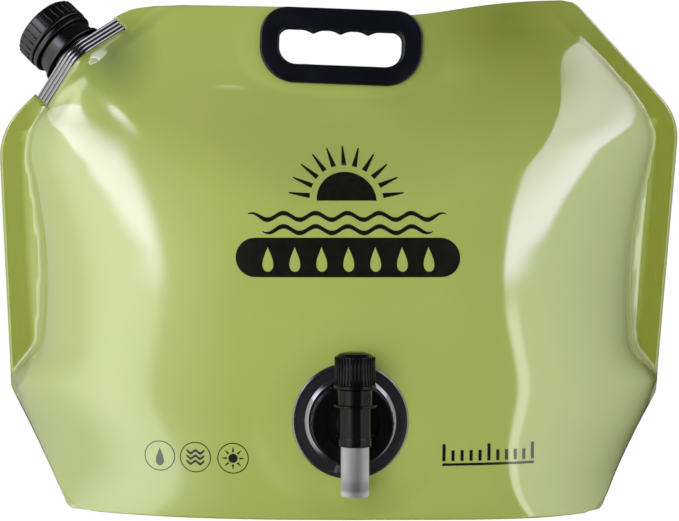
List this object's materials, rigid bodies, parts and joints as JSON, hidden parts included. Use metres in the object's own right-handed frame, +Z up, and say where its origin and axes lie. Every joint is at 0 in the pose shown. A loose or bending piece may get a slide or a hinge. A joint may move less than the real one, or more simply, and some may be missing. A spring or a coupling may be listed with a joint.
{
  "type": "collapsible water carrier",
  "caption": "Standing film water bag with a bottom gusset, a snap-together handle with a finger grip, a capped corner filler and a quarter-turn tap low on its front wall.",
  "frame": {"origin": "middle of the bag's flat base, on the surface that it stands on, in the plane of its side seam", "axes": "+Z up, +X along the bag's width with the filler at -X, -Y out of the front wall along the tap"},
  "size_m": [0.4103, 0.1798, 0.3005],
  "materials": {
    "green_film": "glossy translucent olive green laminate film",
    "black_handle": "satin black moulded plastic",
    "black_cap": "semi-gloss black moulded plastic",
    "smoke_flange": "glossy smoke-black plastic",
    "black_valve": "semi-gloss black moulded plastic",
    "clear_plug": "milky translucent plastic",
    "black_rubber": "matte black rubber",
    "white_liner": "white foamed liner"
  },
  "bodies": {
    "bag": {"front_panel": "green_film", "bottom_gusset": "green_film", "handle_front": "black_handle", "handle_back": "black_handle", "filler_spout": "black_cap", "tamper_ring": "black_cap"},
    "back_wall": {"back_panel": "green_film"},
    "tap_mount": {"tap_flange": "smoke_flange"},
    "tap": {"tap_body": "black_valve", "tap_gasket": "black_rubber"},
    "tap_nut": {"tap_nut": "black_valve"},
    "valve": {"valve_plug": "clear_plug", "valve_upper_seal": "black_rubber", "valve_lower_seal": "black_rubber", "tap_knob": "black_valve"},
    "cap_liner": {"cap_liner": "white_liner"},
    "cap": {"filler_cap": "black_cap"}
  },
  "joints": [
    {"name": "back_wall_collapse", "type": "slide", "parent": "bag", "child": "back_wall", "axis": [0, -1, 0], "range_m": [0, 0.0515], "deforming": ["back_panel"]},
    {"name": "front_wall_collapse", "type": "slide", "parent": "bag", "child": "tap_mount", "axis": [0, 1, 0], "range_m": [0, 0.0515], "deforming": ["front_panel", "bottom_gusset"]},
    {"name": "tap_pull", "type": "slide", "parent": "tap_mount", "child": "tap", "axis": [0, -1, 0], "range_m": [0, 0.008]},
    {"name": "tap_nut_turn", "type": "hinge", "parent": "tap", "child": "tap_nut", "pos_m": [0, -0.08, 0.0562], "axis": [0, -1, 0], "range_deg": [0, 960]},
    {"name": "valve_turn", "type": "hinge", "parent": "tap", "child": "valve", "pos_m": [0, -0.09735, 0.0562], "axis": [0, 0, 1], "range_deg": [0, 90]},
    {"name": "cap_lift", "type": "slide", "parent": "bag", "child": "cap_liner", "axis": [-0.6917, 0.2079, 0.6917], "range_m": [0, 0.012]},
    {"name": "cap_turn", "type": "hinge", "parent": "cap_liner", "child": "cap", "pos_m": [-0.15837, 0, 0.26543], "axis": [-0.6917, 0.2079, 0.6917], "range_deg": [0, 1080]}
  ],
  "couplings": [
    {"joint": "front_wall_collapse", "follows": "back_wall_collapse", "ratio": 1},
    {"joint": "tap_pull", "follows": "tap_nut_turn", "m_per_rad": 0.000477},
    {"joint": "cap_lift", "follows": "cap_turn", "m_per_rad": 0.000636}
  ]
}
